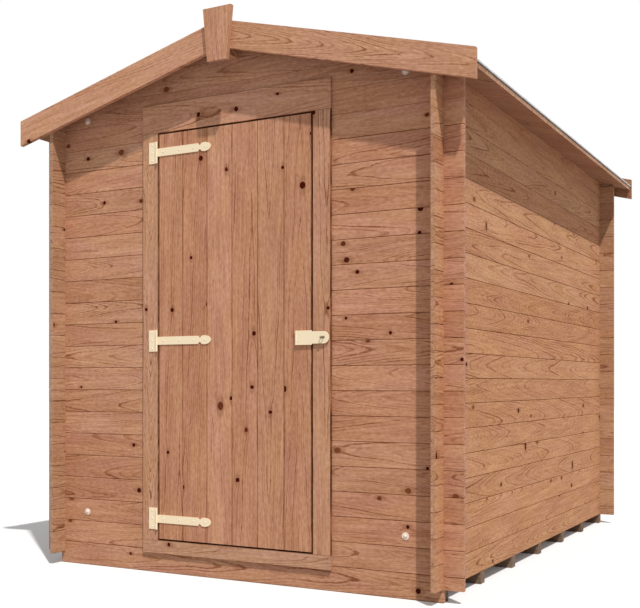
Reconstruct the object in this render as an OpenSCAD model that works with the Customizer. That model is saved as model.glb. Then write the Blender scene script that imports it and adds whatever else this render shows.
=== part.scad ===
// Garden shed of interlocking log boards, with an apex felt roof and one ledged door.
// Millimetres. +Z is up, the door faces -Y, and the origin is on the ground under the middle.

/* [Walls] */
// Width over the outer faces of the side walls
shed_w = 1800; // [1500:10:2400]
// Depth over the outer faces of the front and back walls
shed_d = 2420; // [1800:10:3600]
// Thickness of a log board
log_t = 19; // [16:1:28]
// Height that one log covers
log_h = 95; // [85:1:120]
// How far the logs run past each corner
log_end = 76; // [50:1:120]
// Width of the tongue along the top of each log
tongue_w = 6; // [4:0.5:8]
// Height of the tongue
tongue_h = 7; // [4:0.5:10]
// Bevel along the edges of each log
log_bevel = 2; // [1:0.25:3]

/* [Boards] */
// Width of the tongue along the floor, roof and door boards
board_tongue_w = 4; // [3:0.5:5]
// Height of that tongue
board_tongue_h = 5; // [3:0.5:7]
// Bevel along the edges of the roof and door boards
board_bevel = 1.5; // [0.5:0.25:2.5]

/* [Floor] */
// Number of bearers under the floor
bearer_count = 7; // [5:1:9]
// Width of a bearer
bearer_w = 45; // [38:1:70]
// Number of floor boards
floor_board_count = 16; // [12:1:20]
// Thickness of a floor board
floor_board_t = 16; // [12:1:19]
// Bevel along the edges of a floor board
floor_bevel = 0.5; // [0.25:0.25:2]

/* [Roof] */
// Slope of the roof in degrees
pitch = 14.5; // [10:0.5:22]
// Height of the roof's underside over the foot of the gable, at the side walls' outer faces
eave_rise = 23; // [18:1:45]
// How far the roof boards run past the side walls
eave_over = 144; // [100:1:200]
// Number of roof boards on each slope
roof_board_count = 23; // [18:1:28]
// Thickness of a roof board
roof_board_t = 22; // [14:1:24]
// Thickness of the roofing felt
felt_t = 3; // [2:0.5:4]
// How far the felt turns down over the eave
felt_lip = 9; // [4:1:12]
// Reach of the ridge capping down each slope
cap_reach = 150; // [100:5:200]
// Width of the ridge purlin
purlin_w = 44; // [34:1:60]
// Depth of the ridge purlin
purlin_h = 70; // [60:1:95]

/* [Barge boards] */
// Width of a barge board, across its grain
barge_w = 105; // [90:1:140]
// Thickness of a barge board
barge_t = 19; // [14:1:24]
// Height of the barge boards' top edge over the felt
barge_stand = 34; // [25:1:55]
// How far a barge board runs past the ends of the roof boards
barge_proud = 10; // [5:1:30]
// Width of the finial board along its top
finial_top_w = 131; // [100:1:160]
// Width of the finial board along its foot
finial_foot_w = 90; // [80:1:130]
// Height of the finial board
finial_h = 209; // [180:1:260]
// How far the finial board stands over the barge boards
finial_rise = 43; // [20:1:70]

/* [Door] */
// Width of the door
door_w = 722; // [600:2:820]
// Height of the door
door_h = 1680; // [1500:5:1900]
// Height of the door's foot over the ground
door_foot = 142; // [125:1:150]
// How far the doorway stands to the right of the wall's middle
door_off = 3; // [-30:1:30]
// Number of boards in the door
door_board_count = 6; // [5:1:8]
// Thickness of a door board
door_board_t = 16; // [12:1:19]
// Gap between the door and its frame
door_gap = 7; // [5:0.5:8]
// Width of a ledge on the door's back
ledge_w = 95; // [70:1:120]
// Thickness of a ledge
ledge_t = 18; // [14:1:22]
// Bevel along the edges of a ledge
ledge_bevel = 5; // [2:0.5:8]
// How far a ledge stops short of the door's edge
ledge_inset = 30; // [24:1:60]
// Height of the lowest hinge over the door's foot
low_hinge_rise = 83; // [70:1:140]
// How far the middle hinge is below the door's middle
middle_hinge_drop = 17; // [0:1:60]
// How far the top hinge is below the door's top
top_hinge_drop = 74; // [60:1:140]

/* [Door frame] */
// Thickness of each cheek that the frame clasps the wall with
cheek_t = 10; // [8:1:14]
// Thickness of a post inside the opening
jamb_t = 33; // [24:1:45]
// How far the posts' cheeks lap over the logs beside the opening
post_lap = 44; // [30:1:60]
// Least depth of the head inside the opening
head_min = 60; // [30:1:69]
// How far the head's cheeks lap over the log above the opening
head_lap = 48; // [30:1:60]
// How far the sill's cheeks lap over the bottom log
sill_lap = 15; // [12:1:40]
// How far a stop stands into the opening
stop_w = 17; // [12:1:20]
// Gap between the door and its stops
stop_gap = 5; // [3:0.5:8]

/* [Ironmongery] */
// Thickness of the hinge and hasp plates
plate_t = 3; // [2:0.5:4]
// Radius of a knuckle
knuckle_r = 5; // [4.5:0.25:6]
// Radius of a hinge pin
pin_r = 2.5; // [2:0.1:3]
// How far a hinge pin stands over the post, out from the door gap
hinge_pin_over = 3.5; // [0:0.5:8]
// Width of a hinge plate, out from the pin
hinge_plate_w = 40; // [36:1:46]
// Height of a hinge plate
hinge_plate_h = 89; // [80:1:120]
// Length of a hinge strap, from the pin to its tip
strap_l = 271; // [200:1:300]
// Width of a hinge strap
strap_w = 33; // [30:1:45]
// Length of the strap's tip, out from its nicks
strap_tip_l = 54; // [38:1:70]
// Width of the strap's tip
strap_tip_w = 36; // [30:1:45]
// Radius of the nicks
strap_nick_r = 7.5; // [2:0.5:8]
// How far the hasp is below the door's middle
hasp_drop = 19; // [0:1:60]
// Length of the hasp plate, from the pin towards the door's closing edge
hasp_plate_l = 60; // [45:1:80]
// Height of the hasp plate, and of the part of the flap that covers it
hasp_plate_h = 55; // [48:1:64]
// How far the hasp plate stays back from the door's edge
hasp_plate_inset = 2.5; // [1:0.5:10]
// Length of the hasp flap past the door's edge, to its tip
flap_past = 81.5; // [76:0.5:84]
// Height of the hasp flap past the door gap
flap_h = 47; // [38:1:48]
// Distance from the staple to the flap's tip
staple_inset = 29; // [26:1:36]
// Radius of the staple's rod
staple_rod_r = 2.5; // [2:0.25:3]
// Radius of the staple's bend, at the middle of the rod
staple_bend_r = 6; // [5:0.5:8]
// Thickness of the staple's plate
staple_plate_t = 1.5; // [1:0.25:2.5]
// Height of the staple's plate
staple_plate_h = 30; // [24:1:40]
// How far the staple's plate runs past its rod
staple_plate_over = 6; // [4:0.5:10]

/* [Fits] */
// Clearance between pieces that seat on each other
fit = 0.3; // [0.2:0.05:0.5]
// Radial clearance of a pin in its knuckle
pin_fit = 0.08; // [0.03:0.01:0.1]
// Gap between two knuckles
knuckle_gap = 0.5; // [0.3:0.1:1]
// Clearance of the flap's slot round the staple
slot_fit = 2; // [1.5:0.25:2.5]

/* [Hidden] */

timber = "peru";
bearer_timber = "tan";
felt_grey = "darkgray";
iron_cream = "cornsilk";

round_fn = 48;
past = 1;                                    // how far a cutter runs past the face it cuts
board_tongue = [board_tongue_w, board_tongue_h];

// Walls. The logs run up to the first joint that clears the door's head.
clear_z0 = door_foot - door_gap;             // clear opening inside the door frame
clear_z1 = door_foot + door_h + door_gap;
log_count = ceil((clear_z1 + head_min) / log_h);
wall_x = shed_w / 2;                         // outer face of a side wall
wall_y = shed_d / 2;                         // outer face of an end wall
lap_x = wall_x - log_t / 2;                  // middle of a side wall, where the end walls cross it
lap_y = wall_y - log_t / 2;                  // middle of an end wall, where the side walls cross it
lap_w = log_t + 2 * fit;                     // width of the notch that a crossing log sits in
lap_d = log_h / 4 + fit / 2;                 // depth of that notch
inner_x = wall_x - log_t;
inner_y = wall_y - log_t;
side_z = log_h / 2;                          // the side walls stand half a log higher than the ends
gable_z = log_count * log_h;                 // foot of the gables

// Roof
ridge_z = gable_z + eave_rise + wall_x * tan(pitch);
roof_y = wall_y + log_end;                   // the roof ends flush with the ends of the logs
slope_l = (wall_x + eave_over) / cos(pitch);
felt_w0 = roof_board_t + fit;                // underside of the felt, square to the slope
cap_w0 = felt_w0 + felt_t + fit;
roof_board_cover = (2 * roof_y - 2 * fit) / roof_board_count;
gable_log_count = ceil((ridge_z - gable_z) / log_h);
barge_h = barge_w / cos(pitch);              // height of a barge board, plumb
barge_x = wall_x + eave_over + barge_proud;  // plumb cut at the foot of a barge board
barge_apex = ridge_z + (felt_w0 + felt_t) / cos(pitch) + barge_stand;

// Door and frame
front_y = -wall_y - fit - cheek_t;           // front faces of the door and its frame
frame_d = 2 * cheek_t + log_t + 2 * fit;
clear_w = door_w + 2 * door_gap;             // clear opening between the posts
opening_w = clear_w + 2 * jamb_t;            // opening that is cut in the wall
opening_x0 = door_off - opening_w / 2;
opening_x1 = door_off + opening_w / 2;
frame_w = opening_w + 2 * post_lap;
sill_core = clear_z0 - log_h;                // depth of the sill and head in that opening
head_core = gable_z - clear_z1;
leaf_back_y = front_y + door_board_t;
stop_y = leaf_back_y + stop_gap;
door_board_cover = door_w / door_board_count;

// Ironmongery
hinge_x = door_off - clear_w / 2 - hinge_pin_over;
hasp_x = door_off + door_w / 2 - hasp_plate_inset - hasp_plate_l;
pin_y = front_y - knuckle_r;
strap_knuckle_h = strap_w;
strap_nick_x = strap_l - strap_tip_l;
flap_knuckle_h = hasp_plate_h / 2;
flap_l = hasp_plate_l + hasp_plate_inset + flap_past;
flap_shoulder_x = flap_l - flap_past + door_gap;    // from the hasp's pin, over the post's edge
staple_x = flap_l - staple_inset;            // from the hasp's pin
door_mid_z = door_foot + door_h / 2;
hinge_zs = [door_foot + low_hinge_rise, door_mid_z - middle_hinge_drop,
            door_foot + door_h - top_hinge_drop];
hasp_z = door_mid_z - hasp_drop;
staple_l = 2 * (staple_bend_r + staple_rod_r);
staple_plate_l = staple_l + 2 * staple_plate_over;

// ---------------------------------------------------------------- shared shapes

// Cross-section of a tongued and grooved board: its cover along X from 0, its thickness along Y
// from 0, its tongue's width and height. An end board has no tongue or no groove.
module board_section(cover, thick, tongue, bevel, has_groove = true, has_tongue = true) {
    low = has_groove ? fit / 2 : 0;
    high = has_tongue ? cover - fit / 2 : cover;
    mid = thick / 2;
    half = tongue[0] / 2;
    slot = half + fit;
    reach = tongue[1];
    polygon(concat(
        [[low + bevel, 0], [high - bevel, 0], [high, bevel]],
        has_tongue ? [[high, mid - half], [high + reach, mid - half],
                      [high + reach, mid + half], [high, mid + half]] : [],
        [[high, thick - bevel], [high - bevel, thick], [low + bevel, thick], [low, thick - bevel]],
        has_groove ? [[low, mid + slot], [low + reach + fit, mid + slot],
                      [low + reach + fit, mid - slot], [low, mid - slot]] : [],
        [[low, bevel]]
    ));
}

// A log along X from x0 to x1, standing on z = 0 with its outer face on y = 0. It is halved
// from below and from above, where it crosses the logs of another wall.
module wall_log(x0, x1, laps_below = [], laps_above = [], has_groove = true) {
    difference() {
        translate([x1, 0, 0]) rotate([0, -90, 0]) linear_extrude(x1 - x0)
            board_section(log_h, log_t, [tongue_w, tongue_h], log_bevel, has_groove);
        for (x = laps_below)
            translate([x - lap_w / 2, -past, -past]) cube([lap_w, log_t + 2 * past, lap_d + past]);
        for (x = laps_above)
            translate([x - lap_w / 2, -past, log_h - lap_d])
                cube([lap_w, log_t + 2 * past, lap_d + tongue_h + past]);
    }
}

// Everything over the underside of the roof boards, as a cutter for what reaches up to them
module over_roof() {
    reach = wall_x + log_end + past;
    apex = ridge_z - fit;
    foot = apex - reach * tan(pitch);
    top = gable_z + (gable_log_count + 1) * log_h;
    along_y(-roof_y - past, roof_y + past)
        polygon([[0, apex], [reach, foot], [reach, top], [-reach, top], [-reach, foot]]);
}

// Puts its children on the right slope: X runs down the slope from the ridge, Z stands square to it
module on_slope() {
    translate([0, 0, ridge_z]) rotate([0, pitch, 0]) children();
}

// Extrudes an outline drawn in X and Z along Y, between y0 and y1
module along_y(y0, y1) {
    translate([0, y1, 0]) rotate([90, 0, 0]) linear_extrude(y1 - y0) children();
}

// Turns its children round to the back of the shed
module at_back() {
    rotate([0, 0, 180]) children();
}

// ---------------------------------------------------------------- floor

// Bearers across the shed. The outer two are narrower, because the bottom logs stand in front.
module floor_bearers() {
    pitch_y = (shed_d - bearer_w) / (bearer_count - 1);
    color(bearer_timber)
        for (i = [0 : bearer_count - 1]) {
            y0 = i == 0 ? -inner_y + fit : -wall_y + i * pitch_y;
            y1 = i == bearer_count - 1 ? inner_y - fit : -wall_y + i * pitch_y + bearer_w;
            translate([-wall_x, y0, 0]) cube([shed_w, y1 - y0, side_z]);
        }
}

// Tongued floor boards from front to back, between the walls
module floor_boards() {
    cover = 2 * (inner_x - fit) / floor_board_count;
    color(timber)
        for (i = [0 : floor_board_count - 1])
            translate([-inner_x + fit + i * cover, inner_y - fit, side_z])
                rotate([90, 0, 0]) linear_extrude(2 * (inner_y - fit))
                    board_section(cover, floor_board_t, board_tongue, floor_bevel,
                        i > 0, i < floor_board_count - 1);
}

// ---------------------------------------------------------------- walls

// Bottom log of an end wall. Over the bearers it runs past the corners as the other logs do.
module bottom_log() {
    color(timber) translate([0, -wall_y, 0]) difference() {
        wall_log(-wall_x - log_end, wall_x + log_end, [], [-lap_x, lap_x], false);
        for (side = [0, 1]) mirror([side, 0, 0])
            translate([wall_x, -past, -past]) cube([log_end + past, log_t + 2 * past, side_z + past]);
    }
}

// Logs of an end wall over its bottom log, between x0 and x1, crossed at laps. The tongue of the
// top one is planed off where it meets the roof.
module end_wall_logs(x0, x1, laps) {
    color(timber)
        for (k = [1 : log_count - 1])
            difference() {
                translate([0, -wall_y, k * log_h]) wall_log(x0, x1, laps, laps);
                if (k == log_count - 1) over_roof();
            }
}

// Logs of a gable between the side walls, cut to the slopes and round the ridge purlin
module gable() {
    color(timber)
        for (k = [0 : gable_log_count - 1])
            difference() {
                translate([0, -wall_y, gable_z + k * log_h]) wall_log(-inner_x + fit, inner_x - fit);
                over_roof();
                translate([-purlin_w / 2 - fit, -wall_y - past, ridge_z - purlin_h - fit])
                    cube([purlin_w + 2 * fit, log_t + 2 * past, purlin_h + log_h]);
            }
}

// Right side wall: whole logs on the bearers, the top one cut to the slope
module side_wall() {
    run = wall_y + log_end;
    laps = [-lap_y, lap_y];
    color(timber)
        for (k = [0 : log_count - 1]) {
            is_top = k == log_count - 1;
            difference() {
                translate([wall_x, 0, side_z + k * log_h]) rotate([0, 0, 90])
                    wall_log(-run, run, laps, is_top ? [] : laps, k > 0);
                if (is_top) over_roof();
            }
        }
}

module front_bottom_log()
    difference() {
        bottom_log();
        // the sill sits where the tongue is planed off under the opening
        translate([opening_x0, -wall_y - past, log_h - fit / 2])
            cube([opening_w, log_t + 2 * past, tongue_h + past]);
    }
module front_wall_left() end_wall_logs(-wall_x - log_end, opening_x0, [-lap_x]);
module front_wall_right() end_wall_logs(opening_x1, wall_x + log_end, [lap_x]);
module front_gable() gable();
module back_wall() at_back() {
    bottom_log();
    end_wall_logs(-wall_x - log_end, wall_x + log_end, [-lap_x, lap_x]);
}
module back_gable() at_back() gable();
module right_wall() side_wall();
module left_wall() at_back() side_wall();

// ---------------------------------------------------------------- roof

// Purlin under the ridge, its top planed to both slopes, housed in the gables
module ridge_purlin() {
    side = purlin_w / 2;
    shoulder = ridge_z - fit - side * tan(pitch);
    foot = ridge_z - purlin_h;
    color(timber) along_y(-roof_y + fit, roof_y - fit)
        polygon([[-side, foot], [side, foot], [side, shoulder], [0, ridge_z - fit], [-side, shoulder]]);
}

// Tongued boards down the right slope, square cut at the ridge and at the eave
module roof_boards() {
    color(timber) on_slope()
        for (i = [0 : roof_board_count - 1])
            translate([fit, -roof_y + fit + i * roof_board_cover, 0])
                rotate([90, 0, 90]) linear_extrude(slope_l - fit)
                    board_section(roof_board_cover, roof_board_t, board_tongue, board_bevel,
                        i > 0, i < roof_board_count - 1);
}

// Felt on the right slope, mitred at the ridge and turned down over the eave
module felt() {
    top = felt_w0 + felt_t;
    color(felt_grey) on_slope() along_y(-roof_y + fit, roof_y - fit)
        polygon([
            [fit - felt_w0 * tan(pitch), felt_w0],
            [slope_l + fit, felt_w0],
            [slope_l + fit, felt_w0 - felt_lip],
            [slope_l + fit + felt_t, felt_w0 - felt_lip],
            [slope_l + fit + felt_t, top],
            [fit - top * tan(pitch), top]
        ]);
}

// Strip of felt over the ridge, lapping both slopes
module ridge_capping() {
    low = ridge_z + cap_w0 / cos(pitch);
    high = low + felt_t / cos(pitch);
    run = cap_reach * cos(pitch);
    fall = cap_reach * sin(pitch);
    color(felt_grey) along_y(-roof_y + fit, roof_y - fit)
        polygon([[-run, low - fall], [0, low], [run, low - fall],
                 [run, high - fall], [0, high], [-run, high - fall]]);
}

module roof_boards_right() roof_boards();
module roof_boards_left() mirror([1, 0, 0]) roof_boards();
module felt_right() felt();
module felt_left() mirror([1, 0, 0]) felt();

// Right barge board of the front gable, cut plumb at both ends
module barge() {
    foot = barge_apex - barge_x * tan(pitch);
    color(timber) along_y(-roof_y - barge_t, -roof_y)
        polygon([[fit, barge_apex], [barge_x, foot], [barge_x, foot - barge_h],
                 [fit, barge_apex - barge_h]]);
}

// Tapered board over the meeting of two barge boards
module finial() {
    top = barge_apex + finial_rise;
    y1 = -roof_y - barge_t;
    color(timber) along_y(y1 - barge_t, y1)
        polygon([[-finial_foot_w / 2, top - finial_h], [finial_foot_w / 2, top - finial_h],
                 [finial_top_w / 2, top], [-finial_top_w / 2, top]]);
}

module front_barge_right() barge();
module front_barge_left() mirror([1, 0, 0]) barge();
module back_barge_right() mirror([0, 1, 0]) barge();
module back_barge_left() at_back() barge();
module front_finial() finial();
module back_finial() at_back() finial();

// ---------------------------------------------------------------- door frame

// Length of frame along X with its clear edge on z = 0, its face rising to z = face and its front
// on y = 0. Its two cheeks clasp the wall, and its core fills the opening over a shorter length.
module clasp(length, face, core, core_length) {
    slot = log_t + 2 * fit;
    difference() {
        translate([length / 2, 0, 0]) rotate([0, -90, 0]) linear_extrude(length)
            polygon([[0, 0], [face, 0], [face, cheek_t], [core, cheek_t], [core, cheek_t + slot],
                     [face, cheek_t + slot], [face, frame_d], [0, frame_d]]);
        if (core_length < length)
            for (side = [0, 1]) mirror([side, 0, 0])
                translate([core_length / 2, cheek_t, -past])
                    cube([length, slot, core + 2 * past]);
    }
}

module door_sill()
    color(timber) translate([door_off, front_y, clear_z0]) mirror([0, 0, 1])
        clasp(frame_w, sill_core + sill_lap, sill_core - fit, opening_w - 2 * fit);

module door_head()
    color(timber) translate([door_off, front_y, clear_z1])
        clasp(frame_w, head_core + head_lap, head_core - fit, opening_w - 2 * fit);

// Post on one side of the doorway, side 1 to the right and 0 to the left
module door_post(side)
    color(timber) translate([door_off, front_y, (clear_z0 + clear_z1) / 2])
        mirror([1 - side, 0, 0]) translate([clear_w / 2, 0, 0]) rotate([0, 90, 0])
            clasp(clear_z1 - clear_z0 - 2 * fit, jamb_t + post_lap, jamb_t - fit,
                clear_z1 - clear_z0);

module door_post_right() door_post(1);
module door_post_left() door_post(0);

// Stops on the posts and under the head, which the door closes against
module door_stops() {
    inset = clear_w / 2 - fit;
    depth = front_y + frame_d - stop_y;
    head_foot = clear_z1 - fit - stop_w;
    color(timber) translate([door_off, 0, 0]) {
        for (side = [0, 1]) mirror([side, 0, 0])
            translate([inset - stop_w, stop_y, clear_z0 + fit])
                cube([stop_w, depth, head_foot - clear_z0 - 2 * fit]);
        translate([-inset, stop_y, head_foot]) cube([2 * inset, depth, stop_w]);
    }
}

// ---------------------------------------------------------------- door

module door_boards()
    color(timber)
        for (i = [0 : door_board_count - 1])
            translate([door_off - door_w / 2 + i * door_board_cover, front_y, door_foot])
                linear_extrude(door_h)
                    board_section(door_board_cover, door_board_t, board_tongue, board_bevel,
                        i > 0, i < door_board_count - 1);

// Ledges across the door's back, one behind each hinge, with bevelled edges
module door_ledges() {
    length = door_w - 2 * ledge_inset;
    color(timber)
        for (z = hinge_zs)
            translate([door_off + length / 2, leaf_back_y + fit, z - ledge_w / 2]) rotate([0, -90, 0])
                linear_extrude(length)
                    polygon([[0, 0], [ledge_w, 0], [ledge_w, ledge_t - ledge_bevel],
                             [ledge_w - ledge_bevel, ledge_t], [ledge_bevel, ledge_t],
                             [0, ledge_t - ledge_bevel]]);
}

// ---------------------------------------------------------------- ironmongery

// Fixed half of a hinge with its pin on the Z axis and its plate towards -X, as high as height.
// The moving knuckle, as high as mid, turns on the pin between the fixed ones.
module fixed_leaf(plate_w, height, mid) {
    clear_h = mid / 2 + knuckle_gap;
    knuckle_h = height / 2 - clear_h;
    for (side = [0, 1]) mirror([0, 0, side])
        translate([0, 0, clear_h]) {
            cylinder(r = knuckle_r, h = knuckle_h, $fn = round_fn);
            translate([-plate_w, knuckle_r - plate_t, 0]) cube([plate_w, plate_t, knuckle_h]);
        }
    cylinder(r = pin_r, h = height - 2 * knuckle_gap, center = true, $fn = round_fn);
    translate([-plate_w, knuckle_r - plate_t, -height / 2])
        cube([plate_w - knuckle_r - 2 * knuckle_gap, plate_t, height]);
}

// Knuckle that turns on the pin, with a neck out to the plate that it carries. The neck lies
// from back to front behind or before the pin.
module moving_knuckle(mid, neck_l, neck_y) {
    difference() {
        union() {
            cylinder(r = knuckle_r, h = mid, center = true, $fn = round_fn);
            translate([0, neck_y, -mid / 2]) cube([neck_l, plate_t, mid]);
        }
        cylinder(r = pin_r + pin_fit, h = mid + 2 * past, center = true, $fn = round_fn);
    }
}

// Strap of a tee hinge, with nicks before its rounded tip, whose round runs back over the nicks
module strap() {
    tip_round = [(strap_tip_l + strap_nick_r) / 2, strap_tip_w / 2];
    neck_y = knuckle_r - plate_t;
    moving_knuckle(strap_knuckle_h, 2 * knuckle_r, neck_y);
    translate([0, neck_y + plate_t, 0]) rotate([90, 0, 0]) linear_extrude(plate_t)
        difference() {
            union() {
                translate([knuckle_r, -strap_w / 2]) square([strap_nick_x - knuckle_r, strap_w]);
                translate([strap_l - tip_round[0], 0]) scale(tip_round)
                    circle(r = 1, $fn = 2 * round_fn);
            }
            for (side = [-1, 1])
                translate([strap_nick_x, side * strap_w / 2])
                    circle(r = strap_nick_r, $fn = round_fn);
        }
}

module hinge_plate(z)
    color(iron_cream) translate([hinge_x, pin_y, z])
        fixed_leaf(hinge_plate_w, hinge_plate_h, strap_knuckle_h);

module hinge_strap(z) color(iron_cream) translate([hinge_x, pin_y, z]) strap();

module bottom_hinge_plate() hinge_plate(hinge_zs[0]);
module middle_hinge_plate() hinge_plate(hinge_zs[1]);
module top_hinge_plate() hinge_plate(hinge_zs[2]);
module bottom_hinge_strap() hinge_strap(hinge_zs[0]);
module middle_hinge_strap() hinge_strap(hinge_zs[1]);
module top_hinge_strap() hinge_strap(hinge_zs[2]);

module hasp_plate()
    color(iron_cream) translate([hasp_x, pin_y, hasp_z]) mirror([1, 0, 0])
        fixed_leaf(hasp_plate_l, hasp_plate_h, flap_knuckle_h);

// Flap of the hasp, closed over its plate and the plate's screws. It narrows past the door gap
// to a rounded tip, with a slot that drops over the staple.
module hasp_flap() {
    tip_r = flap_h / 2;
    knuckle_x = knuckle_r + 2 * knuckle_gap;
    slot_r = staple_rod_r + slot_fit;
    slot_l = staple_l + 2 * slot_fit;
    color(iron_cream) translate([hasp_x, pin_y, hasp_z]) {
        moving_knuckle(flap_knuckle_h, 2 * knuckle_r, -plate_t);
        rotate([90, 0, 0]) linear_extrude(plate_t)
            difference() {
                union() {
                    translate([knuckle_x, -hasp_plate_h / 2])
                        square([flap_shoulder_x - knuckle_x, hasp_plate_h]);
                    translate([knuckle_x, -tip_r]) square([flap_l - tip_r - knuckle_x, flap_h]);
                    translate([flap_l - tip_r, 0]) circle(r = tip_r, $fn = 2 * round_fn);
                }
                for (side = [-1, 1])
                    translate([staple_x + side * (slot_l / 2 - slot_r), 0])
                        circle(r = slot_r, $fn = round_fn);
                translate([staple_x - slot_l / 2 + slot_r, -slot_r])
                    square([slot_l - 2 * slot_r, 2 * slot_r]);
            }
    }
}

// Staple on the post: a bent rod on a small plate, standing out through the flap
module hasp_staple() {
    leg = knuckle_r + plate_t + 2 * staple_rod_r;
    color(iron_cream) translate([hasp_x + staple_x, front_y, hasp_z]) {
        translate([-staple_plate_l / 2, -staple_plate_t, -staple_plate_h / 2])
            cube([staple_plate_l, staple_plate_t, staple_plate_h]);
        for (side = [-1, 1])
            translate([side * staple_bend_r, -staple_plate_t / 2, 0]) rotate([90, 0, 0])
                cylinder(r = staple_rod_r, h = leg - staple_plate_t / 2, $fn = round_fn);
        translate([0, -leg, 0]) rotate([0, 0, 180])
            rotate_extrude(angle = 180, $fn = round_fn)
                translate([staple_bend_r, 0]) circle(r = staple_rod_r, $fn = round_fn);
    }
}

// ---------------------------------------------------------------- nodes

floor_bearers();
floor_boards();
front_bottom_log();
front_wall_left();
front_wall_right();
front_gable();
back_wall();
back_gable();
left_wall();
right_wall();
ridge_purlin();
roof_boards_left();
roof_boards_right();
felt_left();
felt_right();
ridge_capping();
front_barge_left();
front_barge_right();
back_barge_left();
back_barge_right();
front_finial();
back_finial();
door_sill();
door_post_left();
door_post_right();
door_head();
door_stops();
top_hinge_plate();
middle_hinge_plate();
bottom_hinge_plate();
hasp_staple();
door_boards();
door_ledges();
top_hinge_strap();
middle_hinge_strap();
bottom_hinge_strap();
hasp_plate();
hasp_flap();
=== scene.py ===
"""Looks of a garden shed of interlocking log boards, with an apex felt roof and a ledged door.

Metres. +Z is up, the door faces -Y, and the origin is on the ground under the middle. The solids
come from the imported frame. This file dresses them in timber and paint, lays the roofing felt and
adds the small fixings.
"""

from __future__ import annotations

import logging
import math
from collections.abc import Callable, Mapping, Sequence
from dataclasses import dataclass, replace
from enum import Enum

import bpy
from bpy.types import ID, Material, Mesh, Node, NodeSocket, NodeTree, Object
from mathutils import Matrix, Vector

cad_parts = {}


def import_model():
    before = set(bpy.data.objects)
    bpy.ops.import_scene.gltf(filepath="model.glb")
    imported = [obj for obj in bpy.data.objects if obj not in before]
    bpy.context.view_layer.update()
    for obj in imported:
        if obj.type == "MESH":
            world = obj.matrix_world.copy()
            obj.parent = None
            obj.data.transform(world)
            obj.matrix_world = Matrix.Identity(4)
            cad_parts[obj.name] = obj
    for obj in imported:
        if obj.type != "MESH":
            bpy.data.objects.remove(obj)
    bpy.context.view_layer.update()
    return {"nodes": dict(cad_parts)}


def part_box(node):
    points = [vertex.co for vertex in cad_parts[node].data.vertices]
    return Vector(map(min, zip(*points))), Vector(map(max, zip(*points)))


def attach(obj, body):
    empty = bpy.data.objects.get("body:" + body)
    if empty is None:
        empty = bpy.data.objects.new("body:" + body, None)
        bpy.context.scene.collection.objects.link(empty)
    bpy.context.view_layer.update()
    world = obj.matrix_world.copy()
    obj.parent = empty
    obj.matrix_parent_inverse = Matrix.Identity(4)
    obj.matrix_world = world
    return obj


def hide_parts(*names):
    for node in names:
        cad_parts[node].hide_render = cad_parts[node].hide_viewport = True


LOG = logging.getLogger("garden_shed")
MM = 1000.0  # millimetres in a metre: the patterns in the materials are worked out in millimetres
X, Y, Z = (Vector(axis) for axis in ((1, 0, 0), (0, 1, 0), (0, 0, 1)))

Colour = tuple[float, float, float]
WHITE: Colour = (1.0, 1.0, 1.0)


class Slot(Enum):
    """Names of two material slots, for the felt and the painted fixings; nothing in this script
    uses them.
    """

    ROOFING_FELT = "roofing_felt"
    CREAM_IRON = "cream_iron"


# ---- nodes


def math_node(operation: str, turned: bool = False) -> Callable[..., Value]:
    """Makes an operator or method of Value that adds one Math node.

    Args:
        operation: The node's operation.
        turned: Whether the value comes after the other number.

    Returns:
        The method, which takes the other number where there is one.
    """

    def method(value: Value, *other: Value | float) -> Value:
        """Adds the node."""
        parts = (*other, value) if turned else (value, *other)
        return value.maker.math(operation, *parts)

    return method


class Value:
    """A number, vector or colour that varies over a piece, held as the socket that gives it."""

    __add__ = math_node("ADD")
    __radd__ = math_node("ADD", turned=True)
    __sub__ = math_node("SUBTRACT")
    __rsub__ = math_node("SUBTRACT", turned=True)
    __mul__ = math_node("MULTIPLY")
    __rmul__ = math_node("MULTIPLY", turned=True)
    __truediv__ = math_node("DIVIDE")
    __rtruediv__ = math_node("DIVIDE", turned=True)
    __pow__ = math_node("POWER")
    __abs__ = math_node("ABSOLUTE")
    floor = math_node("FLOOR")  # the whole number below this
    root = math_node("SQRT")
    least = math_node("MINIMUM")  # the smaller of this and another number
    most = math_node("MAXIMUM")  # the larger of the two

    def __init__(self, maker: NodeMaker, socket: NodeSocket) -> None:
        """Wraps an output socket in the maker's tree."""
        self.maker = maker
        self.socket = socket

    def step(self, start: Value | float, end: Value | float) -> Value:
        """An eased step from 0 where this is start to 1 where it is end, either way round."""
        return self.maker.out(
            "ShaderNodeMapRange",
            {"interpolation_type": "SMOOTHSTEP"},
            {"Value": self, "From Min": start, "From Max": end},
            "Result",
        )

    def split(self) -> tuple[Value, Value, Value]:
        """Takes this vector or colour apart.

        Returns:
            Its three parts.
        """
        kind = "ShaderNodeSeparateColor" if self.socket.type == "RGBA" else "ShaderNodeSeparateXYZ"
        made = self.maker.node(kind, {}, {0: self})
        return tuple(Value(self.maker, part) for part in made.outputs)


def span(a: Value, b: Value) -> Value:
    """The length of a vector with two parts."""
    return (a * a + b * b).root()


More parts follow.
